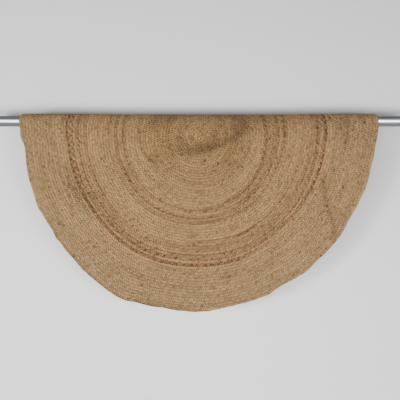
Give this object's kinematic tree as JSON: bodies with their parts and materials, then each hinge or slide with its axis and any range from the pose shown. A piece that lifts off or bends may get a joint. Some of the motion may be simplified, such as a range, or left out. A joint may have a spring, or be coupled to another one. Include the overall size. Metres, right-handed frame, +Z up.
{
  "type": "round braided jute rug folded over a straight round rod",
  "caption": "Round rug of coiled jute braid, hung folded over a level steel rod, its front part hanging lower than its back part.",
  "frame": {"origin": "centre of the rod's left end face, seen from the rug's face", "axes": "+X along the rod to its right end, +Z up, -Y the way the rug's face looks"},
  "size_m": [1.8, 0.0684, 0.8432],
  "materials": {
    "jute": "coarse matt three-strand jute braid, natural golden beige with brown and reddish rows",
    "steel": "smooth bare steel, finely brushed along its length"
  },
  "bodies": {
    "root": {"rug": "jute", "rod": "steel"}
  },
  "joints": []
}
